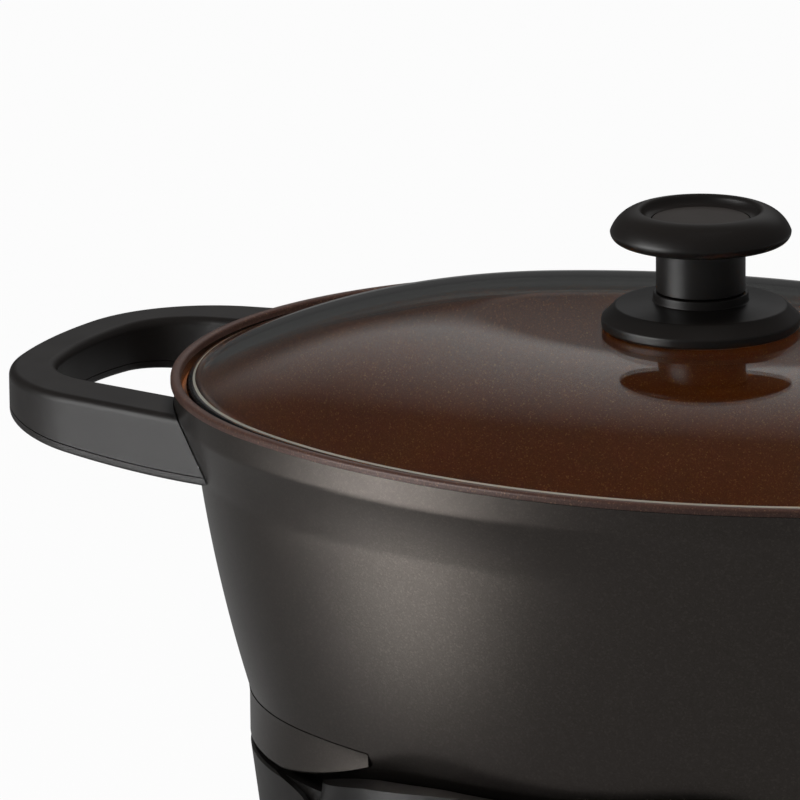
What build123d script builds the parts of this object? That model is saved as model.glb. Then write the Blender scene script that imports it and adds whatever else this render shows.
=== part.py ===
from build123d import *
import os
from math import atan2, cos, degrees, radians, sin, sqrt

# A countertop multicooker: an oval cast pot with two loop handles and a glass lid,
# standing on an electric base with a sloping control console.
# The origin is on the table under the middle of the pot. X runs along the handles,
# the console faces -Y and Z is up. All sizes are in millimetres.

# Outline of the pot's rim: two end arcs and two flatter side arcs
rim_half_length = 164.4
rim_half_width = 129.3
rim_end_flattening = 11.8

# Pot casting, which stands on the heating plate
pot_stand = 70.0
pot_height = 124.4
pot_wall = 4.3
pot_floor = 4.0
rim_bead = 3.1
rim_bead_height = 2.2
rim_bead_crown = 1.0
rim_seam = 0.9
band_height = 10.0
band_draft = 1.3
shoulder_height = 26.9
shoulder_inset = 8.0
belly_height = 64.4
belly_inset = 14.5
foot_inset = 27.9
pot_corner_radius = 37.0
lid_seat_depth = 5.4
lid_seat_width = 5.5
skirt_inset = 22.8
skirt_thickness = 3.2
skirt_root_rise = 26.0
skirt_clearance = 12.0
skirt_flat_from = 104.0
skirt_bends_at = 86.0
skirt_bend_rise = 3.7
skirt_ends_at = 64.0
skirt_rise = 11.3

# Loop handles
handle_tip = 223.2
handle_root = 143.0
handle_tip_bulge = 11.2
handle_tip_half_width = 55.7
handle_flare = 0.1835
handle_corner = 46.0
handle_bar = 13.9
handle_opening_bulge = 6.9
handle_opening_half_width = 37.8
handle_opening_flare = 0.17
handle_inner_corner = 24.0
handle_top = 9.0
handle_tip_depth = 12.3
handle_root_depth = 20.2
handle_edge = 2.6
handle_bottom_edge = 1.0
handle_cover_depth = 2.4
handle_joint_gap = 0.4
lug_width = 10.0
lug_height = 7.0
lug_reach = 13.0
lug_drop = 16.4

# Glass lid and knob
glass_thickness = 4.0
glass_gap = 1.7
dome_rise = 18.6
dome_flat_half_width = 34.5
vent_offset = 98.0
vent_radius = 4.0
knob_flange_radius = 29.7
knob_flange_band = 3.0
knob_flange_top_radius = 25.7
knob_flange_rise = 6.8
knob_collar_radius = 14.3
knob_collar_rise = 10.9
knob_column_radius = 13.4
knob_cap_radius = 27.1
knob_cap_low = 26.4
knob_rise = 36.0
knob_crest_radius = 19.0
knob_recess_radius = 17.6
knob_recess_depth = 3.0
knob_insert_radius = 14.6
knob_insert_thickness = 2.0
knob_seam = 0.3
bolt_radius = 2.5
washer_radius = 15.0
washer_thickness = 1.6

# Base housing
housing_bottom = 4.0
housing_rise = 9.4
housing_wall = 2.6
deck_drop = 5.0
well_inset = 50.0
panel_rise = 10.0
panel_top_inset = 22.8
panel_draft = 0.125
panel_thickness = 2.2
panel_gap = 0.15
panel_bevel = 0.7
panel_bottom = 6.0
pot_clearance_inset = 21.3
pot_clearance_rise = 22.0
cradle_inset = 27.9
cradle_rise = 11.0

# Control console: its flat front widens downwards and its top rises between the pot's skirts
console_rise = 23.0
console_shoulder_drop = 12.0
console_half_width = 90.0
console_top_inset = 17.3
console_spread = 7.0
console_top_corner = 53.0
console_bottom_corner = 26.0
fascia_drop = 5.0
fascia_bottom = 13.0
fascia_top_half_width = 35.0
fascia_bottom_half_width = 60.0
fascia_thickness = 2.4
fascia_corner = 7.0
fascia_ledge = 1.5
window_length = 52.0
window_width = 16.0
window_thickness = 1.4
window_height = 52.0
key_length = 15.0
key_width = 8.0
key_corner = 2.0
key_proud = 1.0
key_travel = 0.8
key_flange = 1.4
key_flange_thickness = 1.2
key_upper_height = 38.0
key_lower_height = 25.0
key_offset = 36.0
switch_height = 4.0
dial_radius = 13.0
dial_height = 9.0
dial_level = 28.0
dial_grips = 24
dial_gap = 0.8
encoder_shaft_radius = 3.0
encoder_size = 12.0
encoder_depth = 6.0
board_thickness = 1.6
control_board_length = 104.0
control_board_width = 44.0
control_board_depth = 13.0
board_drop = 15.0
board_upper_screw_x = 39.5

# Heating parts
plate_inset = 66.0
plate_thickness = 11.0
plate_edge = 2.0
element_radius = 4.0
element_inset = 80.0
element_gap_angle = 12.0
sensor_hole_radius = 16.5
sensor_radius = 15.0
sensor_head = 3.0
sensor_sleeve_radius = 8.6
sensor_sleeve_length = 17.0
sensor_travel = 2.0
guide_radius = 7.3
spring_radius = 11.0
spring_wire_radius = 0.7
spring_turns = 6
shield_thickness = 0.8
shield_floor = 38.0
shield_flange = 4.5
post_radius = 4.0
post_end_inset = 108.4
post_side_inset = 105.3

# Bottom cover, feet and rear gland
cover_thickness = 2.6
cover_gap = 0.3
foot_radius = 10.0
foot_plug_radius = 4.0
foot_end_inset = 80.4
foot_side_inset = 73.3
vent_slot_length = 26.0
vent_slot_width = 3.0
vent_slots = 9
vent_slot_pitch = 9.0
screw_radius = 1.6
screw_head_radius = 3.2
screw_head_height = 1.8
screw_length = 11.0
boss_radius = 4.5
gland_height = 24.0
gland_bore_radius = 3.7
gland_radius = 7.5
gland_flange_radius = 10.0
gland_flange = 3.0
gland_pad_inset = 26.3
end_screw_inset = 42.1
corner_screw_end_inset = 87.4
corner_screw_side_inset = 56.3
gland_wall = 10.0
power_board_length = 96.0
power_board_width = 64.0
power_board_height = 16.0
running_gap = 0.08
free_gap = 0.3

# Values worked out from the ones above
rim_height = pot_stand + pot_height
rim_end_radius = rim_half_width - rim_end_flattening
rim_side_radius = (
    rim_half_length ** 2 + rim_half_width ** 2 - 2 * rim_half_length * rim_end_radius
) / (2 * (rim_half_width - rim_end_radius))
end_centre = rim_half_length - rim_end_radius
side_centre = rim_side_radius - rim_half_width
join_angle = degrees(atan2(side_centre, end_centre))
skirt_height = pot_height - skirt_clearance
skirt_root = pot_height - skirt_root_rise
glass_top = rim_height + dome_rise
glass_edge_inset = rim_bead + glass_gap
dome_flat_inset = rim_half_width - dome_flat_half_width
plate_top = pot_stand
plate_bottom = plate_top - plate_thickness
housing_top = pot_stand + housing_rise
deck_height = pot_stand - deck_drop
panel_top = pot_stand + panel_rise
pot_clearance_height = pot_stand + pot_clearance_rise
cradle_height = pot_stand + cradle_rise
console_top = pot_stand + console_rise
console_shoulder = console_top - console_shoulder_drop
console_top_reach = rim_half_width - console_top_inset
console_bottom_reach = console_top_reach + console_spread
fascia_top = console_top - fascia_drop
gland_pad = rim_half_width - gland_pad_inset
post_x = rim_half_length - post_end_inset
post_y = rim_half_width - post_side_inset
foot_x = rim_half_length - foot_end_inset
foot_y = rim_half_width - foot_side_inset
deck_underside = deck_height - housing_wall
cover_top = housing_bottom + cover_thickness
standing = Rot(90, 0, 0)
console_slope = (console_bottom_reach - console_top_reach) / (console_top - housing_bottom)
console_tilt = atan2(console_slope, 1)
console_centre_height = (fascia_top + fascia_bottom) / 2
console_plane = Plane(
    origin=(0, -console_top_reach - (console_top - console_centre_height) * console_slope, console_centre_height),
    x_dir=(1, 0, 0),
    z_dir=(0, -cos(console_tilt), sin(console_tilt)),
)


def oval(inset, height=0.0):
    """The rim's outline moved inwards by inset, as a flat face at a height."""
    end_radius = rim_end_radius - inset
    join_x = end_centre + end_radius * cos(radians(join_angle))
    join_y = end_radius * sin(radians(join_angle))
    half_length = rim_half_length - inset
    half_width = rim_half_width - inset
    outline = Wire([
        ThreePointArc((join_x, -join_y), (half_length, 0), (join_x, join_y)),
        ThreePointArc((join_x, join_y), (0, half_width), (-join_x, join_y)),
        ThreePointArc((-join_x, join_y), (-half_length, 0), (-join_x, -join_y)),
        ThreePointArc((-join_x, -join_y), (0, -half_width), (join_x, -join_y)),
    ])
    return Pos(0, 0, height) * Face(outline)


def oval_block(inset, low, high):
    """A straight block with the oval outline between two heights."""
    return extrude(oval(inset, low), high - low)


def oval_stack(levels):
    """A block whose outline changes straight between (inset, height) levels."""
    return loft([oval(inset, height) for inset, height in levels], ruled=True)


def carry_round(section):
    """Carry a section round the oval; its x is outwards from the rim, its y is height."""
    end_section = Pos(end_centre, 0, 0) * Rot(0, 0, -join_angle) * standing
    side_section = Pos(0, -side_centre, 0) * Rot(0, 0, join_angle) * standing
    end = revolve(
        end_section * Pos(rim_end_radius, 0) * section,
        Axis((end_centre, 0, 0), (0, 0, 1)),
        2 * join_angle,
    )
    side = revolve(
        side_section * Pos(rim_side_radius, 0) * section,
        Axis((0, -side_centre, 0), (0, 0, 1)),
        180 - 2 * join_angle,
    )
    return end + side + mirror(end, Plane.YZ) + mirror(side, Plane.XZ)


def turned(outline):
    """A turned piece from points (radius, height) on one side of the Z axis."""
    return revolve(Plane.XZ * make_face(Polyline(outline, close=True)), Axis.Z)


def upright(radius, low, high, x=0.0, y=0.0):
    """An upright cylinder between two heights."""
    return Pos(x, y, low) * Cylinder(radius, high - low, align=(Align.CENTER, Align.CENTER, Align.MIN))


def on_console(piece, x=0.0, y=0.0, depth=0.0):
    """Place a piece on the console's slope, depth below its surface."""
    return console_plane * Pos(x, y, -depth) * piece


def round_bar(radius, low, high):
    """A cylinder along its own Z axis between two levels."""
    return Pos(0, 0, low) * Cylinder(radius, high - low, align=(Align.CENTER, Align.CENTER, Align.MIN))


def plate(length, width, low, high, corner=0.0):
    """A flat plate between two levels, with rounded corners where corner is given."""
    outline = RectangleRounded(length, width, corner) if corner else Rectangle(length, width)
    return extrude(Pos(0, 0, low) * outline, high - low)


def four_places(x, y):
    """The four corners of a rectangle about the origin."""
    return [(sx * x, sy * y) for sx in (-1, 1) for sy in (-1, 1)]


def nearest_vertex(sketch, x, y):
    return sketch.vertices().sort_by_distance((x, y, 0))[0]


def arc_between(start, end, sagitta):
    """An arc that bulges away from the chord's middle by sagitta, to the left of its direction."""
    chord_x = end[0] - start[0]
    chord_y = end[1] - start[1]
    chord = sqrt(chord_x ** 2 + chord_y ** 2)
    middle = (
        (start[0] + end[0]) / 2 - sagitta * chord_y / chord,
        (start[1] + end[1]) / 2 + sagitta * chord_x / chord,
    )
    return ThreePointArc(start, middle, end)


# Pot

def pot_section():
    """The casting's section: rim bead, lid seat, light band, slanted shoulder, belly and floor."""
    seat_end = rim_bead + lid_seat_width
    inner_shoulder = shoulder_inset + pot_wall
    floor_join = plate_inset
    lines = [
        ThreePointArc((-rim_bead, -rim_bead_crown), (-rim_bead / 2, 0), (0, -rim_bead_crown)),
        Line((0, -rim_bead_crown), (0, -rim_bead_height)),
        Line((0, -rim_bead_height), (-rim_seam, -rim_bead_height - rim_seam / 2)),
        Line((-rim_seam, -rim_bead_height - rim_seam / 2), (-band_draft, -band_height)),
        Line((-band_draft, -band_height), (-shoulder_inset, -shoulder_height)),
        ThreePointArc(
            (-shoulder_inset, -shoulder_height), (-belly_inset, -belly_height), (-foot_inset, -pot_height)
        ),
        Line((-foot_inset, -pot_height), (-floor_join, -pot_height)),
        Line((-floor_join, -pot_height), (-floor_join, -pot_height + pot_floor)),
        Line((-floor_join, -pot_height + pot_floor), (-foot_inset - pot_wall, -pot_height + pot_floor)),
        ThreePointArc(
            (-foot_inset - pot_wall, -pot_height + pot_floor),
            (-belly_inset - pot_wall, -belly_height),
            (-inner_shoulder, -shoulder_height),
        ),
        Line((-inner_shoulder, -shoulder_height), (-seat_end, -lid_seat_depth)),
        Line((-seat_end, -lid_seat_depth), (-rim_bead, -lid_seat_depth)),
        Line((-rim_bead, -lid_seat_depth), (-rim_bead, -rim_bead_crown)),
    ]
    section = make_face(lines)
    section = fillet(nearest_vertex(section, -foot_inset, -pot_height), pot_corner_radius)
    inner_corner = nearest_vertex(section, -foot_inset - pot_wall, -pot_height + pot_floor)
    section = fillet(inner_corner, pot_corner_radius - pot_floor)
    section = fillet(nearest_vertex(section, -band_draft, -band_height), 3.0)
    return section


def pot_skirt():
    """The upright skirt that the casting keeps at both ends, cut away in a rising curve."""
    inner = skirt_inset + skirt_thickness
    ring = carry_round(make_face(Polyline([
        (-skirt_inset, -skirt_root), (-skirt_inset, -skirt_height), (-inner, -skirt_height),
        (-inner, (-skirt_root - skirt_height) / 2 + 1.0), (-inner + 1.5, -skirt_root),
    ], close=True)))
    tip = (-skirt_ends_at, -skirt_height + skirt_rise)
    cut = make_face([
        ThreePointArc(
            (-skirt_flat_from, -skirt_height), (-skirt_bends_at, -skirt_height + skirt_bend_rise), tip
        ),
        Line(tip, (-skirt_ends_at, -skirt_root + 6.0)),
        Line((-skirt_ends_at, -skirt_root + 6.0), (0, -skirt_root + 6.0)),
        Line((0, -skirt_root + 6.0), (0, -skirt_height - 1.0)),
        Line((0, -skirt_height - 1.0), (-skirt_flat_from, -skirt_height - 1.0)),
        Line((-skirt_flat_from, -skirt_height - 1.0), (-skirt_flat_from, -skirt_height)),
    ])
    tunnel = extrude(standing * cut, 2 * rim_half_width, both=True)
    return ring - tunnel - mirror(tunnel, Plane.YZ)


def handle_side(x):
    """Half the left handle's width at a distance from the middle; its sides spread to the root."""
    corner_x = -handle_tip + handle_tip_bulge
    return handle_tip_half_width + handle_flare * (x - corner_x)


def opening_side(x):
    """Half the width of the left handle's opening at a distance from the middle."""
    corner_x = -handle_tip + handle_bar + handle_opening_bulge
    return handle_opening_half_width + handle_opening_flare * (x - corner_x)


def lug_places():
    """Where the handle lugs leave the pot's wall: x, y and the side they point to."""
    lug_y = (handle_side(-rim_half_length) + opening_side(-rim_half_length)) / 2
    lug_x = end_centre + sqrt((rim_end_radius - shoulder_inset) ** 2 - lug_y ** 2)
    return [(side * lug_x, sy * lug_y, side) for side in (-1, 1) for sy in (-1, 1)]


def lug(clearance=0.0):
    """One lug, from inside the pot's wall to its tip, pointing to +X."""
    return Box(
        lug_reach + 4.0 + clearance, lug_width + 2 * clearance, lug_height + 2 * clearance,
        align=(Align.MIN, Align.CENTER, Align.CENTER),
    )


def lug_at(x, y, side, clearance=0.0):
    turn = Rot(0, 0, 180 if side < 0 else 0)
    return Pos(x, y, rim_height - lug_drop - lug_height / 2) * turn * Pos(-3.0, 0, 0) * lug(clearance)


def lug_screw_place(x, y, side):
    return x + side * (lug_reach - 4.5), y


def make_pot():
    body = Pos(0, 0, rim_height) * (carry_round(pot_section()) + pot_skirt())
    body += oval_block(plate_inset, pot_stand, pot_stand + pot_floor)
    for x, y, side in lug_places():
        body += lug_at(x, y, side) - oval_stack([
            (shoulder_inset + pot_wall / 2, rim_height - shoulder_height - 5.0),
            (shoulder_inset, rim_height - band_height),
        ])
        screw_x, screw_y = lug_screw_place(x, y, side)
        body -= upright(screw_radius, rim_height - 40.0, rim_height - lug_drop - 1.5, screw_x, screw_y)
    return body


# Handles

def handle_loop():
    """The left handle's outline from above, with its open middle."""
    root_x = -handle_root + 20.0
    corner_x = -handle_tip + handle_tip_bulge
    corner_y = handle_side(corner_x)
    root_y = handle_side(root_x)
    outer = make_face([
        Line((root_x, root_y), (corner_x, corner_y)),
        arc_between((corner_x, corner_y), (corner_x, -corner_y), -handle_tip_bulge),
        Line((corner_x, -corner_y), (root_x, -root_y)),
        Line((root_x, -root_y), (root_x, root_y)),
    ])
    for side in (-1, 1):
        outer = fillet(nearest_vertex(outer, corner_x, side * corner_y), handle_corner)
    hole_x = -handle_tip + handle_bar + handle_opening_bulge
    hole_y = opening_side(hole_x)
    hole_end_x = root_x + 20.0
    hole_end_y = opening_side(hole_end_x)
    hole = make_face([
        Line((hole_end_x, hole_end_y), (hole_x, hole_y)),
        arc_between((hole_x, hole_y), (hole_x, -hole_y), -handle_opening_bulge),
        Line((hole_x, -hole_y), (hole_end_x, -hole_end_y)),
        Line((hole_end_x, -hole_end_y), (hole_end_x, hole_end_y)),
    ])
    for side in (-1, 1):
        hole = fillet(nearest_vertex(hole, hole_x, side * hole_y), handle_inner_corner)
    return outer - hole


def handle_underside(x):
    """Height of the handle's underside, which is level at the root and curves up to the tip."""
    run = handle_tip - handle_root
    rise = handle_root_depth - handle_tip_depth
    radius = (run ** 2 + rise ** 2) / (2 * rise)
    from_root = abs(x) - handle_root
    lowest = rim_height - handle_top - handle_root_depth
    return lowest + radius - sqrt(radius ** 2 - from_root ** 2)


def below_handle_slope(lift):
    """Everything under the left handle's curved underside, raised by lift."""
    far = handle_tip + 5.0
    near = handle_root - 30.0
    middle = (far + near) / 2
    floor = rim_height - 90.0
    slope = make_face([
        ThreePointArc(
            (-far, handle_underside(far) + lift),
            (-middle, handle_underside(middle) + lift),
            (-near, handle_underside(near) + lift),
        ),
        Line((-near, handle_underside(near) + lift), (-near, floor)),
        Line((-near, floor), (-far, floor)),
        Line((-far, floor), (-far, handle_underside(far) + lift)),
    ])
    return extrude(standing * slope, 100.0, both=True)


def make_handle_blank():
    top = rim_height - handle_top
    blank = extrude(Pos(0, 0, top - 30.0) * handle_loop(), 30.0)
    top_edges = blank.edges().group_by(Axis.Z)[-1]
    top_edges = top_edges.filter_by(lambda edge: edge.center().X < -rim_half_length + 30.0)
    blank = fillet(top_edges, handle_edge)
    blank -= below_handle_slope(0.0)
    bottom_edges = blank.edges().filter_by(
        lambda edge: edge.center().Z < top - handle_tip_depth + 1.0 and edge.center().X < -rim_half_length + 30.0
    )
    blank = fillet(bottom_edges.filter_by(lambda edge: abs(edge.tangent_at(0.5).Z) < 0.3), handle_bottom_edge)
    pot_outline = oval_stack([
        (shoulder_inset + 1.7 - handle_joint_gap, rim_height - shoulder_height - 12.0),
        (shoulder_inset - handle_joint_gap, rim_height - shoulder_height),
        (band_draft - handle_joint_gap, rim_height - band_height),
        (-handle_joint_gap, rim_height),
    ])
    return blank - pot_outline


def make_left_handle():
    """The handle's main moulding, with a pocket for each lug and a screw hole below it."""
    blank = make_handle_blank() - below_handle_slope(handle_cover_depth + free_gap)
    for x, y, side in lug_places()[:2]:
        blank -= lug_at(x, y, side, free_gap)
        screw_x, screw_y = lug_screw_place(x, y, side)
        blank -= upright(screw_radius + 0.2, rim_height - 60.0, rim_height - lug_drop, screw_x, screw_y)
    return blank


def make_left_handle_cover():
    """The thin plate that closes the handle below its parting line, with screw head pockets."""
    cover = make_handle_blank() & below_handle_slope(handle_cover_depth)
    for x, y, side in lug_places()[:2]:
        screw_x, screw_y = lug_screw_place(x, y, side)
        cover -= upright(screw_head_radius + 0.2, rim_height - 60.0, rim_height, screw_x, screw_y)
    return cover


def make_handle_screws():
    screws = []
    for x, y, side in lug_places():
        screw_x, screw_y = lug_screw_place(x, y, side)
        seat = handle_underside(abs(screw_x) - screw_head_radius) + handle_cover_depth + free_gap
        head = upright(screw_head_radius, seat - screw_head_height, seat, screw_x, screw_y)
        shank = upright(screw_radius - 0.05, seat, rim_height - lug_drop - 2.0, screw_x, screw_y)
        screws.append(head + shank)
    return screws


# Glass lid and knob

def dome_arc(edge_x, edge_y, top_y):
    """An arc from the lid's edge that ends level where the flat middle starts."""
    run = abs(-dome_flat_inset - edge_x)
    rise = top_y - edge_y
    radius = (run ** 2 + rise ** 2) / (2 * rise)
    half_run = run / 2
    middle_y = top_y - radius + sqrt(radius ** 2 - half_run ** 2)
    return ThreePointArc((edge_x, edge_y), (edge_x - half_run, middle_y), (-dome_flat_inset, top_y))


def make_glass():
    """Pressed glass: a ground flat under the edge, a rounded edge and a dome with a flat middle."""
    bead = glass_thickness / 2
    edge_x = -glass_edge_inset - bead
    edge_top = -lid_seat_depth + glass_thickness
    ground_x = edge_x - 2.5
    section = make_face([
        ThreePointArc((edge_x, -lid_seat_depth), (-glass_edge_inset, -lid_seat_depth + bead), (edge_x, edge_top)),
        dome_arc(edge_x, edge_top, dome_rise),
        Line((-dome_flat_inset, dome_rise), (-dome_flat_inset, dome_rise - glass_thickness)),
        dome_arc(ground_x, -lid_seat_depth, dome_rise - glass_thickness),
        Line((ground_x, -lid_seat_depth), (edge_x, -lid_seat_depth)),
    ])
    glass = Pos(0, 0, rim_height) * carry_round(section)
    glass += oval_block(dome_flat_inset, glass_top - glass_thickness, glass_top)
    glass -= upright(bolt_radius + 0.6, rim_height, glass_top + 1.0)
    glass -= upright(vent_radius + 0.1, rim_height - 5.0, glass_top + 5.0, vent_offset, 0)
    return glass


def vent_height():
    """Height of the glass's upper face where the steam vent is."""
    bead = glass_thickness / 2
    run = dome_flat_inset - glass_edge_inset - bead
    rise = dome_rise + lid_seat_depth - glass_thickness
    radius = (run ** 2 + rise ** 2) / (2 * rise)
    from_flat = dome_flat_inset - (rim_half_length - vent_offset)
    return glass_top - radius + sqrt(radius ** 2 - from_flat ** 2)


def make_vent():
    """The steam vent's metal eyelet, with a rolled lip above the glass."""
    top = vent_height()
    return turned([
        (vent_radius - 0.8, top - 6.0), (vent_radius, top - 6.0), (vent_radius, top + 0.8),
        (vent_radius + 2.4, top + 0.8), (vent_radius + 2.4, top + 1.6), (vent_radius + 1.6, top + 2.2),
        (vent_radius - 0.2, top + 2.2), (vent_radius - 0.8, top + 1.4),
    ]).moved(Location((vent_offset, 0, 0)))


def make_knob_flange():
    collar_bottom = knob_flange_rise + 1.4
    return Pos(0, 0, glass_top) * turned([
        (bolt_radius + 0.2, 0.0), (knob_flange_radius - 0.6, 0.0), (knob_flange_radius, 0.6),
        (knob_flange_radius, knob_flange_band), (knob_flange_top_radius, knob_flange_rise),
        (knob_collar_radius, collar_bottom), (knob_collar_radius, knob_collar_rise),
        (bolt_radius + 0.2, knob_collar_rise),
    ])


def make_knob_column():
    low = knob_collar_rise + knob_seam
    return Pos(0, 0, glass_top) * turned([
        (bolt_radius + 0.1, low), (knob_column_radius, low), (knob_column_radius, knob_cap_low),
        (bolt_radius + 0.1, knob_cap_low),
    ])


def make_knob_cap():
    """The mushroom cap: widest near its flat underside, domed to a crest round a shallow recess."""
    recess = knob_rise - knob_recess_depth
    floor = recess - knob_insert_thickness
    rim = (knob_cap_radius, knob_cap_low + 2.9)
    crest = (knob_crest_radius, knob_rise)
    lip = (knob_recess_radius, knob_rise - 1.0)
    seat_radius = knob_insert_radius + knob_seam
    profile = Plane.XZ * make_face([
        Line((0, knob_cap_low), (knob_cap_radius - 3.1, knob_cap_low)),
        ThreePointArc((knob_cap_radius - 3.1, knob_cap_low), (knob_cap_radius - 0.7, knob_cap_low + 1.1), rim),
        ThreePointArc(rim, (knob_cap_radius - 1.6, knob_cap_low + 5.8), crest),
        ThreePointArc(crest, (knob_recess_radius + 0.5, knob_rise - 0.3), lip),
        Line(lip, (seat_radius, recess)),
        Line((seat_radius, recess), (seat_radius, floor)),
        Line((seat_radius, floor), (0, floor)),
        Line((0, floor), (0, knob_cap_low)),
    ])
    return Pos(0, 0, glass_top) * revolve(profile, Axis.Z)


def make_knob_insert():
    top = knob_rise - knob_recess_depth
    bottom = top - knob_insert_thickness
    return Pos(0, 0, glass_top) * turned([
        (0, bottom), (knob_insert_radius, bottom), (knob_insert_radius, top - 0.2),
        (knob_insert_radius - 0.5, top + 0.2), (0, top + 0.2),
    ])


def make_lid_washer():
    under = glass_top - glass_thickness
    return upright(washer_radius, under - washer_thickness, under) - upright(
        bolt_radius + 0.2, under - washer_thickness - 1.0, under + 1.0
    )


def make_lid_bolt():
    under = glass_top - glass_thickness - washer_thickness
    tip = glass_top + knob_cap_low - 0.8
    return upright(bolt_radius * 2, under - 2.6, under) + upright(bolt_radius, under, tip)


# Base housing

def console_outline(half_width, reach, corner):
    """The console's outline from above, open towards the pot's middle."""
    return make_face([
        Line((-half_width, -30.0), (-half_width, -reach + corner)),
        RadiusArc((-half_width, -reach + corner), (-half_width + corner, -reach), -corner),
        Line((-half_width + corner, -reach), (half_width - corner, -reach)),
        RadiusArc((half_width - corner, -reach), (half_width, -reach + corner), -corner),
        Line((half_width, -reach + corner), (half_width, -30.0)),
        Line((half_width, -30.0), (-half_width, -30.0)),
    ])


def console_block(shrink, low, high):
    """The console's tapering form between two levels, moved inwards by shrink."""
    def outline_at(height):
        drop = (console_top - height) / (console_top - housing_bottom)
        reach = console_top_reach + drop * (console_bottom_reach - console_top_reach)
        corner = console_top_corner + drop * (console_bottom_corner - console_top_corner)
        return Pos(0, 0, height) * console_outline(console_half_width - shrink, reach - shrink, corner - shrink)

    return loft([outline_at(low), outline_at(high)], ruled=True)


def above_console_top():
    """The space above the console's top edge, which rises from both shoulders to the middle."""
    reach = console_half_width + 10.0
    shoulder = (-console_half_width, console_shoulder)
    middle = (-console_half_width + 30.0, console_top - 2.4)
    edge = [
        Line((-reach, console_shoulder - 2.0), shoulder),
        ThreePointArc(shoulder, (-console_half_width + 14.0, console_top - 6.6), middle),
        ThreePointArc(middle, (-console_half_width + 48.0, console_top - 0.5), (0, console_top)),
    ]
    left = make_face(edge + [
        Line((0, console_top), (0, console_top + 30.0)),
        Line((0, console_top + 30.0), (-reach, console_top + 30.0)),
        Line((-reach, console_top + 30.0), (-reach, console_shoulder - 2.0)),
    ])
    half = extrude(standing * left, 2 * rim_half_width, both=True)
    return half + mirror(half, Plane.YZ)


def panel_inset(height):
    return panel_top_inset + (panel_top - height) * panel_draft


def core_inset(height):
    return panel_inset(height) + panel_thickness + panel_gap


def core_form(shrink, low, high):
    """The housing's oval core, without the console."""
    return oval_stack([(core_inset(low) + shrink, low), (core_inset(high) + shrink, high)])


def cover_screw_places():
    end_x = rim_half_length - end_screw_inset
    corner_x = rim_half_length - corner_screw_end_inset
    corner_y = rim_half_width - corner_screw_side_inset
    return [(-end_x, 0), (end_x, 0)] + four_places(corner_x, corner_y)


def fascia_outline(shrink=0.0):
    """The fascia's outline on the console's plane, a trapezium with rounded corners."""
    rise = (fascia_top - fascia_bottom) / 2 / cos(console_tilt) - shrink
    top_x = fascia_top_half_width - shrink
    bottom_x = fascia_bottom_half_width - shrink
    outline = make_face(Polyline([
        (-top_x, rise), (-bottom_x, -rise), (bottom_x, -rise), (top_x, rise),
    ], close=True))
    return fillet(outline.vertices(), fascia_corner - shrink)


def make_housing():
    """The moulded core: oval wall, deck with the well, cradle for the pot and the console."""
    console = console_block(0.0, housing_bottom, console_top) - above_console_top()
    form = core_form(0.0, housing_bottom, housing_top) + console
    form -= oval_stack([
        (cradle_inset, deck_height), (cradle_inset, cradle_height),
        (pot_clearance_inset, pot_clearance_height), (pot_clearance_inset, console_top + 2.0),
    ])
    cavity = core_form(housing_wall, housing_bottom - 1.0, deck_underside)
    cavity += console_block(housing_wall, housing_bottom - 1.0, deck_underside)
    housing = form - cavity
    housing -= oval_block(well_inset, deck_underside - 20.0, deck_height + 1.0)
    housing -= on_console(extrude(fascia_outline(), -fascia_thickness))
    opening = Pos(0, console_y(window_height) - board_drop, 0) * plate(
        control_board_length + 2.0, control_board_width + 2.0, -20.0, 5.0, 4.0
    )
    opening &= Pos(0, 0, -20.0) * extrude(fascia_outline(fascia_ledge), 25.0)
    housing -= on_console(opening)
    for x, y in cover_screw_places():
        housing += upright(boss_radius, cover_top, deck_underside + 1.0, x, y)
        housing -= upright(screw_radius, cover_top - 1.0, cover_top + screw_length, x, y)
    housing += Pos(0, gland_pad, gland_height) * Rot(90, 0, 0) * round_bar(gland_flange_radius + 2.0, 0.0, gland_wall)
    housing -= Pos(0, gland_pad + 1.0, gland_height) * Rot(90, 0, 0) * round_bar(
        gland_radius + running_gap, 0.0, 30.0
    )
    return housing


def make_left_panel():
    """The outer end panel: a tapering shell whose top edge is bevelled and sweeps down at both sides."""
    levels = [
        (panel_inset(panel_bottom), panel_bottom), (panel_inset(panel_top - panel_bevel), panel_top - panel_bevel),
        (panel_inset(panel_top) + panel_bevel, panel_top),
    ]
    inner = oval_stack([
        (panel_inset(panel_bottom - 1.0) + panel_thickness, panel_bottom - 1.0),
        (panel_inset(panel_top + 1.0) + panel_thickness, panel_top + 1.0),
    ])
    side = console_half_width
    start = (-side - 20.0, panel_top + 0.4)
    foot = (-side + 13.0, panel_bottom - 2.0)
    other_side_x = side - 30.0
    sweep = make_face([
        Spline(
            start, (-side - 10.0, panel_top - 1.3), (-side - 3.0, panel_top - 3.9),
            (-side + 4.0, panel_top - 13.0), (-side + 11.0, panel_top / 2), foot,
        ),
        Line(foot, (other_side_x, panel_bottom - 2.0)),
        Line((other_side_x, panel_bottom - 2.0), (other_side_x, panel_top + 10.0)),
        Line((other_side_x, panel_top + 10.0), (-side - 20.0, panel_top + 10.0)),
        Line((-side - 20.0, panel_top + 10.0), start),
    ])
    panel = oval_stack(levels) - inner - extrude(standing * sweep, 2 * rim_half_width, both=True)
    other_end = Box(
        2 * rim_half_length, 2 * rim_half_length, 2 * rim_height, align=(Align.MIN, Align.CENTER, Align.CENTER)
    )
    panel -= Pos(other_side_x, 0, 0) * other_end
    return panel - console_block(-panel_gap, housing_bottom, console_top)


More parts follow.
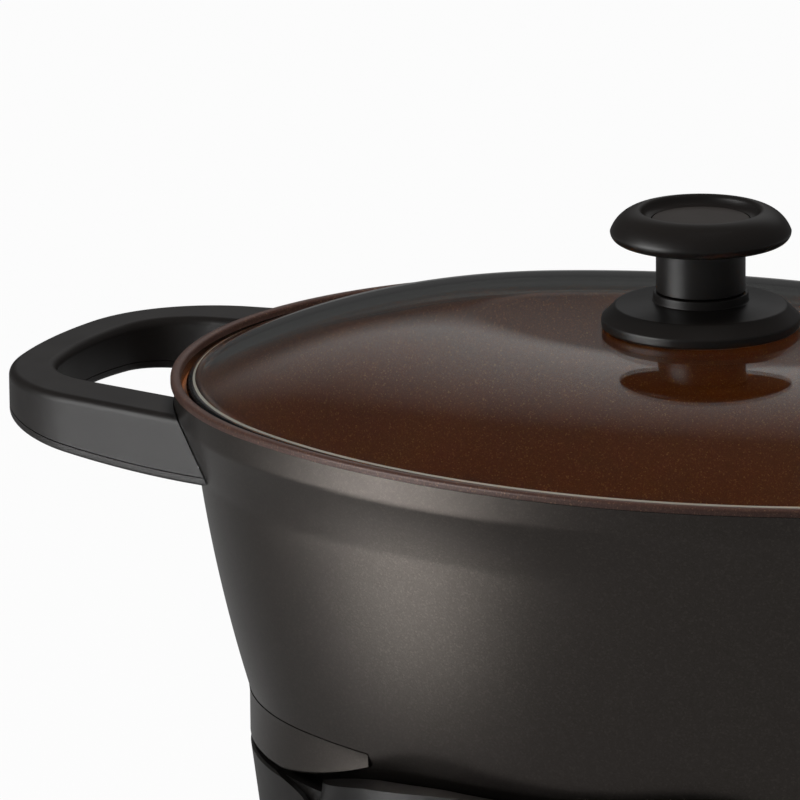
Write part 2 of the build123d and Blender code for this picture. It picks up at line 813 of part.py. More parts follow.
def make_bottom_cover():
    """The screwed bottom cover: vent slots, foot holes, screw holes and board bosses."""
    cover = core_form(housing_wall + cover_gap, housing_bottom, cover_top)
    cover += console_block(housing_wall + cover_gap, housing_bottom, cover_top)
    first_slot = -vent_slot_pitch * (vent_slots - 1) / 2
    slot = extrude(SlotOverall(vent_slot_length, vent_slot_width, rotation=90), 20.0)
    for side in (-1, 1):
        for index in range(vent_slots):
            cover -= Pos(first_slot + index * vent_slot_pitch, side * 54.0, 0) * slot
    for x, y in four_places(foot_x, foot_y):
        cover -= upright(foot_plug_radius + running_gap, 0.0, 20.0, x, y)
    for x, y in cover_screw_places():
        cover -= upright(screw_radius + 0.2, 0.0, 20.0, x, y)
    for x, y in power_board_screw_places():
        cover += upright(boss_radius - 1.0, cover_top, power_board_height, x, y)
        cover -= upright(screw_radius - 0.1, cover_top, power_board_height + 1.0, x, y)
    return cover


def make_feet():
    foot = turned([
        (0, 0.4), (2.0, 0.0), (foot_radius - 1.0, 0.0), (foot_radius, 1.0),
        (foot_radius - 0.6, housing_bottom), (foot_plug_radius, housing_bottom),
        (foot_plug_radius, cover_top + 1.6), (0, cover_top + 1.6),
    ])
    return [Pos(x, y, 0) * foot for x, y in four_places(foot_x, foot_y)]


def make_screw(length):
    """A pan head screw that points up, its head's seat at height 0."""
    head = turned([
        (0, -screw_head_height), (screw_head_radius - 1.0, -screw_head_height),
        (screw_head_radius, -0.6), (screw_head_radius, 0.0), (0, 0.0),
    ])
    return head + round_bar(screw_radius - 0.1, 0.0, length)


def make_cover_screws():
    screw = make_screw(screw_length)
    return [Pos(x, y, housing_bottom) * screw for x, y in cover_screw_places()]


# Console parts

def console_y(height):
    """Place on the console's plane of a height above the table."""
    return (height - console_centre_height) / cos(console_tilt)


def key_places():
    """Name and place on the console of each key."""
    return [
        ("key_menu", -key_offset, console_y(key_upper_height)),
        ("key_start", -key_offset, console_y(key_lower_height)),
        ("key_timer", key_offset, console_y(key_upper_height)),
        ("key_warm", key_offset, console_y(key_lower_height)),
    ]


def key_outline(grow=0.0):
    return RectangleRounded(key_length + 2 * grow, key_width + 2 * grow, key_corner + grow)


def board_boss_places():
    """The board's four screws; the upper two are closer together, inside the fascia's outline."""
    middle = console_y(window_height) - board_drop
    reach = control_board_width / 2 - 3.5
    lower = [(side * (control_board_length / 2 - 4.0), middle - reach) for side in (-1, 1)]
    upper = [(side * board_upper_screw_x, middle + reach) for side in (-1, 1)]
    return lower + upper


def make_fascia():
    """The glossy panel: window step, key openings, encoder hole and bosses for the board."""
    fascia = extrude(fascia_outline(free_gap), -fascia_thickness)
    window_y = console_y(window_height)
    fascia -= Pos(0, window_y, 0) * plate(window_length, window_width, -window_thickness, 1.0, 2.0)
    fascia -= Pos(0, window_y, 0) * plate(window_length - 6.0, window_width - 5.0, -5.0, 1.0, 1.0)
    for _, x, y in key_places():
        fascia -= extrude(Pos(x, y, -5.0) * key_outline(free_gap), 10.0)
    fascia -= Pos(0, console_y(dial_level), 0) * round_bar(encoder_shaft_radius + 1.6, -5.0, 5.0)
    for x, y in board_boss_places():
        fascia += Pos(x, y, 0) * round_bar(3.0, -control_board_depth, -fascia_thickness)
        fascia -= Pos(x, y, 0) * round_bar(1.2, -control_board_depth - 1.0, -fascia_thickness)
    return on_console(fascia)


def make_window():
    window = plate(
        window_length - 2 * running_gap, window_width - 2 * running_gap, -window_thickness, 0.0, 2.0
    )
    return on_console(window, 0, console_y(window_height))


def make_key(x, y):
    """A key cap with a retaining flange behind the fascia and a stem towards its switch."""
    cap = extrude(Pos(0, 0, -fascia_thickness) * key_outline(), fascia_thickness + key_proud)
    cap = chamfer(cap.edges().group_by(Axis.Z)[-1], 0.4)
    flange_low = -fascia_thickness - key_flange_thickness
    flange = extrude(Pos(0, 0, flange_low) * key_outline(key_flange), key_flange_thickness)
    stem = round_bar(2.0, -control_board_depth + switch_height + key_travel + 0.1, flange_low)
    return on_console(cap + flange + stem, x, y)


def make_control_board():
    board = plate(
        control_board_length, control_board_width, -control_board_depth - board_thickness, -control_board_depth
    )
    board = Pos(0, console_y(window_height) - board_drop, 0) * board
    for x, y in board_boss_places():
        board -= Pos(x, y, 0) * round_bar(1.5, -control_board_depth - 5.0, 0.0)
    return on_console(board)


def make_control_screws():
    under = -control_board_depth - board_thickness
    screw = round_bar(2.4, under - 1.4, under) + round_bar(1.1, under, -control_board_depth + 6.0)
    return [on_console(screw, x, y) for x, y in board_boss_places()]


def make_switches():
    """One small push switch under each key: square body and round plunger."""
    body = plate(6.0, 6.0, -control_board_depth, -control_board_depth + switch_height - 1.0)
    switch = body + round_bar(1.6, -control_board_depth, -control_board_depth + switch_height)
    return [on_console(switch, x, y) for _, x, y in key_places()]


def make_display():
    """The display block, from the board up to just under the window."""
    block = plate(window_length - 8.0, window_width - 7.0, -control_board_depth, -window_thickness - 0.2)
    return on_console(block, 0, console_y(window_height))


def make_encoder():
    body = plate(encoder_size, encoder_size, -control_board_depth, -control_board_depth + encoder_depth)
    bush = round_bar(encoder_shaft_radius + 1.3, -control_board_depth + encoder_depth, -1.0)
    bore = round_bar(encoder_shaft_radius + running_gap, -control_board_depth + 1.0, 1.0)
    return on_console(body + bush - bore, 0, console_y(dial_level))


def make_encoder_shaft():
    """The turning shaft, with a flat that drives the dial."""
    shaft = round_bar(encoder_shaft_radius, -control_board_depth + 1.4, dial_height - 2.2)
    flat = Pos(0, encoder_shaft_radius - 0.6 + 5.0, dial_height - 2.0) * Box(10.0, 10.0, 10.0)
    return on_console(shaft - flat, 0, console_y(dial_level))


def make_dial():
    """The selector dial: a turned grip with fine flutes, a dished face and a pointer notch."""
    dial = turned([
        (0, dial_gap), (dial_radius - 0.6, dial_gap), (dial_radius, dial_gap + 0.6),
        (dial_radius - 0.8, dial_height - 1.2), (dial_radius - 2.2, dial_height),
        (dial_radius - 3.4, dial_height), (dial_radius - 4.2, dial_height - 0.8), (0, dial_height - 0.8),
    ])
    flute = round_bar(0.8, dial_gap + 2.0, dial_height + 1.0)
    for index in range(dial_grips):
        dial -= Rot(0, 0, index * 360.0 / dial_grips) * Pos(dial_radius + 0.1, 0, 0) * flute
    bore = round_bar(encoder_shaft_radius + 0.05, -1.0, dial_height - 2.1)
    flat = Pos(0, encoder_shaft_radius - 0.5 + 5.0, dial_height - 2.0) * Box(10.0, 10.0, 10.0)
    dial -= bore - flat
    dial -= Pos(0, dial_radius - 2.6, dial_height) * Box(1.4, 3.4, 1.2)
    return on_console(dial, 0, console_y(dial_level))


# Heating parts

def tube_along_element(radius):
    """A round bar along the heater's loop, built from turned arcs."""
    section = Circle(radius)
    end_bar = revolve(
        Pos(end_centre, 0, 0) * Rot(0, 0, -join_angle) * standing * Pos(rim_end_radius - element_inset, 0) * section,
        Axis((end_centre, 0, 0), (0, 0, 1)), 2 * join_angle,
    )
    side_place = Pos(0, side_centre, 0) * Rot(0, 0, 180 + join_angle) * standing
    front_bar = revolve(
        side_place * Pos(rim_side_radius - element_inset, 0) * section,
        Axis((0, side_centre, 0), (0, 0, 1)), 180 - 2 * join_angle,
    )
    back_place = Pos(0, -side_centre, 0) * Rot(0, 0, join_angle) * standing
    back_bar = revolve(
        back_place * Pos(rim_side_radius - element_inset, 0) * section,
        Axis((0, -side_centre, 0), (0, 0, 1)), 90 - join_angle - element_gap_angle / 2,
    )
    half = end_bar + back_bar
    return half + front_bar + mirror(half, Plane.YZ)


def element_end():
    """Where the heater's right end is, at the back of its loop."""
    side_radius = rim_side_radius - element_inset
    angle = radians(element_gap_angle / 2)
    return side_radius * sin(angle), side_radius * cos(angle) - side_centre


def make_element():
    """The tubular heater in the plate's groove, with its two ends turned down."""
    level = plate_bottom
    heater = Pos(0, 0, level) * tube_along_element(element_radius)
    end_x, end_y = element_end()
    for side in (-1, 1):
        heater += Pos(side * end_x, end_y, level) * Sphere(element_radius)
        heater += upright(element_radius, shield_floor + 6.0, level, side * end_x, end_y)
    return heater


def make_heater_pins():
    """Ceramic bush and tab at each heater end."""
    end_x, end_y = element_end()
    pins = []
    for side in (-1, 1):
        bush = upright(element_radius + 0.6, shield_floor + 1.5, shield_floor + 6.0, side * end_x, end_y)
        tab = Pos(side * end_x, end_y, shield_floor - 3.0) * Box(6.3, 0.8, 9.0)
        pins.append(bush + tab)
    return pins


def make_plate():
    """The cast heating plate: bevelled top, heater groove, sensor hole and post holes."""
    heating_plate = oval_stack([
        (plate_inset, plate_bottom), (plate_inset, plate_top - plate_edge), (plate_inset + plate_edge, plate_top),
    ])
    groove = Pos(0, 0, plate_bottom) * tube_along_element(element_radius + running_gap)
    end_x, end_y = element_end()
    for side in (-1, 1):
        groove += Pos(side * end_x, end_y, plate_bottom) * Sphere(element_radius + running_gap)
    heating_plate -= groove
    heating_plate -= upright(sensor_hole_radius, plate_bottom - 1.0, plate_top + 1.0)
    for x, y in four_places(post_x, post_y):
        heating_plate -= upright(screw_radius, plate_bottom - 1.0, plate_bottom + 6.0, x, y)
    return heating_plate


def make_shield():
    """The pressed sheet tray under the heater: flange under the deck, sloping wall and floor."""
    flange_top = deck_underside
    flange = oval_block(well_inset - shield_flange, flange_top - shield_thickness, flange_top)
    outer = oval_stack([(well_inset + 6.0, shield_floor), (well_inset, flange_top)])
    inner = oval_stack([
        (well_inset + 6.0 + shield_thickness, shield_floor + shield_thickness),
        (well_inset + shield_thickness, flange_top + 1.0),
    ])
    shield = (flange + outer) - inner
    shield -= upright(guide_radius - 2.0, shield_floor - 1.0, shield_floor + 3.0)
    end_x, end_y = element_end()
    for side in (-1, 1):
        shield -= upright(element_radius + 1.5, shield_floor - 1.0, shield_floor + 3.0, side * end_x, end_y)
    for x, y in four_places(post_x, post_y):
        shield -= upright(screw_radius + 0.2, shield_floor - 1.0, shield_floor + 3.0, x, y)
    return shield


def make_posts():
    """Four spacer posts that carry the plate on the tray's floor."""
    low = shield_floor + shield_thickness
    return [
        upright(post_radius, low, plate_bottom, x, y) - upright(screw_radius + 0.2, low, plate_bottom, x, y)
        for x, y in four_places(post_x, post_y)
    ]


def make_post_screws():
    screw = make_screw(plate_bottom + 5.0 - shield_floor)
    return [Pos(x, y, shield_floor) * screw for x, y in four_places(post_x, post_y)]


def make_sensor():
    """The sprung temperature sensor: a flat head that the pot presses and a sliding sleeve."""
    head = upright(sensor_radius, plate_top - sensor_head, plate_top)
    sleeve_low = plate_top - sensor_head - sensor_sleeve_length
    sleeve = upright(sensor_sleeve_radius, sleeve_low, plate_top - sensor_head)
    bore = upright(guide_radius + running_gap, sleeve_low - 1.0, plate_top - sensor_head)
    return head + (sleeve - bore)


def make_sensor_guide():
    """The fixed guide tube on the tray's floor, over which the sensor's sleeve slides."""
    low = shield_floor + shield_thickness
    high = plate_top - sensor_head - sensor_travel - 1.5
    return turned([
        (guide_radius - 1.6, low), (sensor_hole_radius, low), (sensor_hole_radius, low + 1.2),
        (guide_radius, low + 1.2), (guide_radius, high), (guide_radius - 1.6, high),
    ])


def make_sensor_spring():
    """The coil spring between the guide's flange and the sensor's head."""
    low = shield_floor + shield_thickness + 1.2 + spring_wire_radius + 0.05
    high = plate_top - sensor_head - spring_wire_radius - 0.05
    pitch = (high - low) / spring_turns
    path = Pos(0, 0, low) * Helix(pitch, high - low, spring_radius)
    section = Plane(path @ 0, z_dir=path % 0) * Circle(spring_wire_radius)
    return sweep(section, path=path, is_frenet=True)


def make_fuse():
    """The thermal fuse, clipped against the plate's underside."""
    return Pos(36.0, 0, plate_bottom - 2.6) * Rot(90, 0, 0) * Cylinder(2.4, 16.0)


def make_fuse_clip():
    clip_outer = Pos(36.0, 0, plate_bottom - 2.6) * Rot(90, 0, 0) * Cylinder(3.1, 5.0)
    foot = Pos(36.0, 0, plate_bottom - 0.4) * Box(16.0, 5.0, 0.8)
    bore = Pos(36.0, 0, plate_bottom - 2.6) * Rot(90, 0, 0) * Cylinder(2.45, 30.0)
    above = Pos(36.0, 0, plate_bottom + 5.0) * Box(40.0, 40.0, 10.0)
    return clip_outer + foot - bore - above


# Power electronics and rear gland

def power_board_screw_places():
    return four_places(power_board_length / 2 - 6.0, power_board_width / 2 - 6.0)


def make_power_board():
    board = plate(
        power_board_length, power_board_width, power_board_height, power_board_height + board_thickness
    )
    for x, y in power_board_screw_places():
        board -= upright(screw_radius + 0.2, power_board_height - 1.0, power_board_height + 3.0, x, y)
    return board


def make_board_screws():
    seat = power_board_height + board_thickness
    screw = Rot(180, 0, 0) * make_screw(8.0)
    return [Pos(x, y, seat) * screw for x, y in power_board_screw_places()]


def on_power_board(piece, x, y):
    return Pos(x, y, power_board_height + board_thickness) * piece


def standing_box(length, width, height):
    return Box(length, width, height, align=(Align.CENTER, Align.CENTER, Align.MIN))


def make_transformer():
    core = standing_box(24.0, 18.0, 17.0)
    winding = Pos(0, 0, 2.5) * standing_box(15.0, 24.0, 12.0)
    return on_power_board(core + winding, -26.0, 0.0)


def make_relay():
    return on_power_board(chamfer(standing_box(19.0, 15.5, 15.0).edges().group_by(Axis.Z)[-1], 0.8), 6.0, 10.0)


def make_capacitor():
    can = turned([(0, 0), (5.0, 0), (5.0, 13.4), (4.4, 14.0), (0, 14.0)])
    return on_power_board(can, 6.0, -14.0)


def make_terminal_block():
    block = standing_box(22.0, 11.0, 10.0)
    for index in range(3):
        block -= Pos((index - 1) * 7.0, 0, 6.0) * upright(2.0, 0.0, 5.0)
    return on_power_board(block, 30.0, 2.0)


def make_gland():
    """The cord's entry bush in the back wall: outer flange, shank and inner nut face."""
    bush = turned([
        (gland_bore_radius, -gland_wall - 4.0), (gland_radius, -gland_wall - 4.0), (gland_radius, 0.0),
        (gland_flange_radius, 0.0), (gland_flange_radius, gland_flange - 1.0),
        (gland_flange_radius - 1.5, gland_flange), (gland_bore_radius + 0.8, gland_flange),
        (gland_bore_radius, gland_flange - 0.8),
    ])
    return Pos(0, gland_pad, gland_height) * Rot(-90, 0, 0) * bush


def make_gland_nut():
    nut = extrude(RegularPolygon(gland_radius + 4.0, 6), 4.0)
    nut -= round_bar(gland_radius + running_gap, -1.0, 5.0)
    return Pos(0, gland_pad - gland_wall - 4.0, gland_height) * Rot(-90, 0, 0) * nut


# All nodes

def all_nodes():
    handle = make_left_handle()
    handle_cover = make_left_handle_cover()
    panel = make_left_panel()
    nodes = {
        "pot_body": make_pot(),
        "handle_left": handle,
        "handle_right": mirror(handle, Plane.YZ),
        "handle_cover_left": handle_cover,
        "handle_cover_right": mirror(handle_cover, Plane.YZ),
        "handle_screws": make_handle_screws(),
        "lid_glass": make_glass(),
        "steam_vent": make_vent(),
        "knob_flange": make_knob_flange(),
        "knob_column": make_knob_column(),
        "knob_cap": make_knob_cap(),
        "knob_insert": make_knob_insert(),
        "lid_washer": make_lid_washer(),
        "lid_bolt": make_lid_bolt(),
        "base_housing": make_housing(),
        "side_panel_left": panel,
        "side_panel_right": mirror(panel, Plane.YZ),
        "bottom_cover": make_bottom_cover(),
        "feet": make_feet(),
        "cover_screws": make_cover_screws(),
        "control_fascia": make_fascia(),
        "display_window": make_window(),
        "display_module": make_display(),
        "control_board": make_control_board(),
        "control_screws": make_control_screws(),
        "key_switches": make_switches(),
        "dial_encoder": make_encoder(),
        "encoder_shaft": make_encoder_shaft(),
        "selector_dial": make_dial(),
        "heating_plate": make_plate(),
        "heating_element": make_element(),
        "element_terminals": make_heater_pins(),
        "heat_shield": make_shield(),
        "plate_posts": make_posts(),
        "post_screws": make_post_screws(),
        "sensor_cup": make_sensor(),
        "sensor_guide": make_sensor_guide(),
        "sensor_spring": make_sensor_spring(),
        "thermal_fuse": make_fuse(),
        "fuse_clip": make_fuse_clip(),
        "power_board": make_power_board(),
        "board_screws": make_board_screws(),
        "transformer": make_transformer(),
        "power_relay": make_relay(),
        "smoothing_capacitor": make_capacitor(),
        "terminal_block": make_terminal_block(),
        "cord_gland": make_gland(),
        "gland_nut": make_gland_nut(),
    }
    for name, x, y in key_places():
        nodes[name] = make_key(x, y)
    return nodes


os.makedirs("parts", exist_ok=True)
for node_name, solid in all_nodes().items():
    if isinstance(solid, list):
        solid = Compound(children=solid)
    export_step(solid, f"parts/{node_name}.step")
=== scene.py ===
from math import atan2, cos, degrees, pi, radians, sin, sqrt

import bmesh
import bpy
from mathutils import Matrix, Vector


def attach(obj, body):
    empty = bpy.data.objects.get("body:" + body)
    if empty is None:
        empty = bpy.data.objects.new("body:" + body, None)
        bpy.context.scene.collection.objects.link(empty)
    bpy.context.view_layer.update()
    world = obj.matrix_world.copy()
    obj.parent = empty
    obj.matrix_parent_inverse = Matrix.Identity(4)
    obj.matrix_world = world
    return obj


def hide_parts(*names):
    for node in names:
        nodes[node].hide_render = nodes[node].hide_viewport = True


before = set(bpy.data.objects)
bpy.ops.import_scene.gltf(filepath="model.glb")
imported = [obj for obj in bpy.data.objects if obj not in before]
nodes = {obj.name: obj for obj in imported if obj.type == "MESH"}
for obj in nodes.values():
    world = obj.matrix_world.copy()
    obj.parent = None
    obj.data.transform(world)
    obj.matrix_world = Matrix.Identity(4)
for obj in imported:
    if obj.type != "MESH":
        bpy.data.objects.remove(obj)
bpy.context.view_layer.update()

# Sizes in millimetres, with the table at z 0, +X along the handles and the console towards -Y
MM = 0.001
RIM_Z = 194.4
RIM_HALF_LENGTH = 164.4
RIM_HALF_WIDTH = 129.3
RIM_END_RADIUS = 117.5

# The rim's oval is four tangent arcs: two ends and two long sides
RIM_SIDE_RADIUS = (
    RIM_HALF_LENGTH ** 2 + RIM_HALF_WIDTH ** 2 - 2 * RIM_HALF_LENGTH * RIM_END_RADIUS
) / (2 * (RIM_HALF_WIDTH - RIM_END_RADIUS))
END_CENTRE = RIM_HALF_LENGTH - RIM_END_RADIUS
SIDE_CENTRE = RIM_SIDE_RADIUS - RIM_HALF_WIDTH
JOIN_ANGLE = atan2(SIDE_CENTRE, END_CENTRE)

SHARP = radians(32.0)  # faces that meet at more than this keep a crisp edge


# Materials

def hex_colour(text):
    """An sRGB hex colour as linear red, green, blue and alpha."""
    channels = [int(text[i:i + 2], 16) / 255 for i in (1, 3, 5)]
    return [c / 12.92 if c <= 0.04045 else ((c + 0.055) / 1.055) ** 2.4 for c in channels] + [1.0]


def add(tree, kind, settings=None, links=None):
    """Add a node. A setting is one of its sockets where it has one of that name, else a property."""
    node = tree.nodes.new(kind)
    sockets = {}
    for socket in node.inputs:
        sockets.setdefault(socket.name, socket)
    for name, value in (settings or {}).items():
        if isinstance(name, int):
            node.inputs[name].default_value = value
        elif name in sockets and not hasattr(node, name):
            sockets[name].default_value = value
        else:
            setattr(node, name, value)
    for name, source in (links or {}).items():
        target = node.inputs[name] if isinstance(name, int) else sockets[name]
        tree.links.new(source, target)
    return node


def new_material(name):
    material = bpy.data.materials.new(name)
    material.use_nodes = True
    material.node_tree.nodes.clear()
    return material, material.node_tree


def finish_material(tree, settings, links):
    shader = add(tree, "ShaderNodeBsdfPrincipled", settings, links)
    add(tree, "ShaderNodeOutputMaterial", links={"Surface": shader.outputs["BSDF"]})


def ramp(tree, source, stops):
    """A colour ramp with (place, hex colour) stops."""
    node = add(tree, "ShaderNodeValToRGB", links={"Fac": source})
    elements = node.color_ramp.elements
    while len(elements) < len(stops):
        elements.new(0.5)
    for element, (place, colour) in zip(elements, stops):
        element.position = place
        element.color = hex_colour(colour)
    return node.outputs["Color"]


def noise(tree, place, size_mm, detail=3.0, rough=0.5):
    """Noise with features of about size_mm, from 0 to 1."""
    node = add(
        tree, "ShaderNodeTexNoise",
        {"Scale": 1.0 / (size_mm * MM), "Detail": detail, "Roughness": rough}, {"Vector": place},
    )
    return node.outputs["Fac"]


def cells(tree, place, size_mm, channel):
    """A value from 0 to 1 that is the same all over each cell of about size_mm."""
    node = add(tree, "ShaderNodeTexVoronoi", {"Scale": 1.0 / (size_mm * MM)}, {"Vector": place})
    return add(tree, "ShaderNodeSeparateColor", links={"Color": node.outputs["Color"]}).outputs[channel]


def spread(tree, source, low, high):
    """Map 0..1 onto low..high."""
    node = add(tree, "ShaderNodeMapRange", {"To Min": low, "To Max": high}, {"Value": source})
    return node.outputs["Result"]


def bumps(tree, height, strength, height_mm):
    """Small relief of about height_mm."""
    node = add(
        tree, "ShaderNodeBump", {"Strength": strength, "Distance": height_mm * MM}, {"Height": height}
    )
    return node.outputs["Normal"]


def object_place(tree):
    return add(tree, "ShaderNodeTexCoord").outputs["Object"]


def moulded(name, dark, light, roughness, grain_mm, grain_height_mm, settings=None):
    """A moulded finish: colour that drifts slowly, the mould's grain, and uneven sheen."""
    material, tree = new_material(name)
    place = object_place(tree)
    drift = noise(tree, place, 45.0, 2.0)
    grain = noise(tree, place, grain_mm, 2.0)
    colour = ramp(tree, drift, [(0.3, dark), (0.7, light)])
    rough = spread(tree, noise(tree, place, 12.0, 4.0), roughness - 0.04, roughness + 0.05)
    values = {"IOR": 1.5}
    values.update(settings or {})
    finish_material(
        tree, values,
        {"Base Color": colour, "Roughness": rough, "Normal": bumps(tree, grain, 0.35, grain_height_mm)},
    )
    return material


def metal(name, dark, light, roughness, marks_mm):
    """A bare metal with fine tool marks or crystals, whose sheen changes with them."""
    material, tree = new_material(name)
    marks = noise(tree, object_place(tree), marks_mm, 4.0, 0.6)
    colour = ramp(tree, marks, [(0.3, dark), (0.7, light)])
    rough = spread(tree, marks, roughness - 0.06, roughness + 0.08)
    finish_material(
        tree, {"Metallic": 1.0},
        {"Base Color": colour, "Roughness": rough, "Normal": bumps(tree, marks, 0.3, 0.01)},
    )
    return material


def sprayed_casting():
    """Metallic lacquer sprayed on cast aluminium: near black, and pale where it mirrors the floor.

    Its flakes are some 0.03 mm in the real one. They are drawn at 0.5 mm, so that a faint sparkle
    shows. The ripple of 1.6 mm is the orange peel that spraying leaves.
    """
    material, tree = new_material("satin_metallic_lacquer")
    place = object_place(tree)
    colour = ramp(
        tree, cells(tree, place, 0.5, "Red"), [(0.0, "#4f4a46"), (0.8, "#55504c"), (1.0, "#5f5954")]
    )
    rough = spread(tree, noise(tree, place, 30.0, 3.0), 0.24, 0.28)
    finish_material(
        tree, {"Metallic": 0.95, "Coat Weight": 0.05, "Coat Roughness": 0.3},
        {
            "Base Color": colour, "Roughness": rough,
            "Normal": bumps(tree, noise(tree, place, 1.6, 2.0), 0.1, 0.02),
        },
    )
    return material


def flecked_coating(name, tones, roughness):
    """Non-stick coating, sprayed and baked: satin bronze, with a few gold flecks as fine as sand.

    The real flecks are about 0.1 mm. They are drawn at 0.4 mm, the finest that shows.
    """
    material, tree = new_material(name)
    place = object_place(tree)
    colour = ramp(
        tree, cells(tree, place, 0.4, "Green"), list(zip((0.0, 0.6, 0.85, 0.96, 1.0), tones))
    )
    rough = spread(tree, noise(tree, place, 18.0, 3.0), roughness - 0.03, roughness + 0.05)
    finish_material(
        tree, {"Metallic": 0.25, "Coat Weight": 0.2, "Coat Roughness": 0.2},
        {
            "Base Color": colour, "Roughness": rough,
            "Normal": bumps(tree, noise(tree, place, 1.1, 2.0), 0.1, 0.02),
        },
    )
    return material


def tempered_glass():
    """Clear tempered glass from a press: sharp reflections that bend a little over 60 mm waves."""
    material, tree = new_material("tempered_glass")
    wave = noise(tree, object_place(tree), 60.0, 1.0)
    finish_material(
        tree,
        {"Base Color": hex_colour("#f4f6f3"), "Transmission Weight": 1.0, "Roughness": 0.0, "IOR": 1.5},
        {"Normal": bumps(tree, wave, 0.02, 0.05)},
    )
    return material


LACQUER = sprayed_casting()
COATING = flecked_coating(
    "bronze_flecked_nonstick", ("#83420f", "#8b4a15", "#93521d", "#a2622a", "#b57c3d"), 0.34
)
# The same coating on the rim bead and the wall inside it, with painted shade: a darker, browner and less
# lively copy of it
RIM_PAINTED_SHADE_COATING = flecked_coating(
    "bronze_nonstick_rim_painted_shade", ("#46302a", "#4e3730", "#563e35", "#634a3d", "#7a5d48"), 0.36
)
GLASS = tempered_glass()

# The grain of a spark-eroded mould is 0.1 to 0.2 mm. Here and below it is drawn at 0.4 mm or more,
# as coarse as it needs to be to show.

# Painted highlight on the glass's rounded edge: a pale satin line drawn where the light would catch the
# edge
GLASS_EDGE_PAINTED_HIGHLIGHT = moulded(
    "glass_edge_painted_highlight", "#8f8c80", "#a39f92", 0.3, 0.8, 0.02, {"Transmission Weight": 0.3}
)
# Phenolic resin, compression moulded: deep warm black, matt, with a broad soft sheen
PHENOLIC = moulded("phenolic_moulding", "#171413", "#1b1816", 0.42, 0.45, 0.02, {"IOR": 1.6})
# The same from a smoother mould, so the knob's edges catch a little more light
KNOB_PHENOLIC = moulded("knob_phenolic_moulding", "#161312", "#1a1715", 0.36, 0.4, 0.02, {"IOR": 1.6})
# And from a coarse one: the knob's disc is greyer and duller than the ring round it
KNOB_INSERT = moulded("knob_insert_moulding", "#282422", "#2e2a27", 0.5, 0.6, 0.05, {"IOR": 1.6})
# Polypropylene with glass, injection moulded: satin black with a slow drift of the sheen
HOUSING = moulded("satin_housing_moulding", "#110f0e", "#151312", 0.36, 0.6, 0.02)
# Lacquered moulding: a dark warm grey, smoother than the housing beside it
PANEL = moulded("satin_lacquered_panel", "#1d1b19", "#23201e", 0.34, 0.5, 0.01, {"Metallic": 0.3})
# ABS from a polished mould: gloss black that mirrors the room, with faint waves of 3 mm
FASCIA = moulded("gloss_black_fascia", "#08080a", "#0d0d0f", 0.1, 3.0, 0.002)
# Smoked acrylic over a dark display: the smoothest and coolest black on the console
SMOKED = moulded("smoked_window", "#0f1114", "#14171a", 0.07, 3.0, 0.001)
# ABS keys from an eroded mould: satin mid grey
KEYCAP = moulded("satin_keycap", "#6a6a6c", "#747476", 0.4, 0.4, 0.02)
# Aluminium, turned and anodised: soft silver. Its 0.1 mm turning marks are drawn at 0.5 mm.
DIAL = metal("turned_anodised_dial", "#8a8a8c", "#a4a4a6", 0.3, 0.5)
# Stainless steel, pressed and tumbled: bright and even
STEEL = metal("plain_stainless_steel", "#a6a6a8", "#bdbdbf", 0.25, 0.8)
# Steel sheet dipped in zinc: bluish grey with crystals of 5 mm
SHEET = metal("zinc_coated_sheet", "#a2a5a8", "#bbbec1", 0.4, 5.0)
# Cast aluminium, faced on a lathe: pale and matt
MACHINED = metal("machined_cast_aluminium", "#97989a", "#b4b5b7", 0.38, 0.7)
# Steel tube, oxidised by heat: dull brown grey
HEATER = metal("oxidised_heater_tube", "#4a4744", "#63605b", 0.5, 1.0)
# Fibreglass board under a screened solder mask: green, fairly glossy
BOARD = moulded("board_solder_mask", "#0f3a1f", "#164a29", 0.35, 2.0, 0.01)
# Epoxy, transfer moulded: plain matt black of electronic components
COMPONENT = moulded("component_moulding", "#131314", "#1b1b1c", 0.45, 0.5, 0.01)
# Polyester case, injection moulded: satin dark blue
SLEEVE = moulded("blue_component_case", "#16264f", "#1d3060", 0.35, 0.6, 0.01)
# Nylon, injection moulded: matt mid grey
TERMINAL = moulded("grey_terminal_moulding", "#7b7d80", "#888b8e", 0.5, 0.6, 0.02)
# Steatite, pressed and fired: chalky cream
CERAMIC = moulded("unglazed_ceramic", "#d9d3c6", "#e4dfd4", 0.7, 0.4, 0.03)
# Rubber, compression moulded: dull black with hardly any highlight
RUBBER = moulded("black_rubber", "#161616", "#1e1e1e", 0.75, 0.6, 0.03)


# Shape helpers

def arc(centre_x, centre_y, radius, start, end, count):
    """Points on an arc, angles in degrees."""
    angles = [radians(start + (end - start) * i / count) for i in range(count + 1)]
    return [(centre_x + radius * cos(angle), centre_y + radius * sin(angle)) for angle in angles]


def through(a, b, c, count):
    """Points on the arc from a through b to c."""
    ax, ay, bx, by, cx, cy = *a, *b, *c
    d = 2 * (ax * (by - cy) + bx * (cy - ay) + cx * (ay - by))
    aa, bb, cc = ax * ax + ay * ay, bx * bx + by * by, cx * cx + cy * cy
    ux = (aa * (by - cy) + bb * (cy - ay) + cc * (ay - by)) / d
    uy = (aa * (cx - bx) + bb * (ax - cx) + cc * (bx - ax)) / d
    start = degrees(atan2(ay - uy, ax - ux))
    end = degrees(atan2(cy - uy, cx - ux))
    while end - start > 180:
        end -= 360
    while end - start < -180:
        end += 360
    return arc(ux, uy, sqrt((ax - ux) ** 2 + (ay - uy) ** 2), start, end, count)


def profile(bm, points, closed, base=Matrix.Identity(4)):
    """Vertices and edges of a section given as (outwards, up) points in millimetres."""
    verts = [bm.verts.new(base @ Vector((x, 0, z))) for x, z in points]
    pairs = list(zip(verts, verts[1:]))
    if closed:
        pairs.append((verts[-1], verts[0]))
    return verts + [bm.edges.new(pair) for pair in pairs]


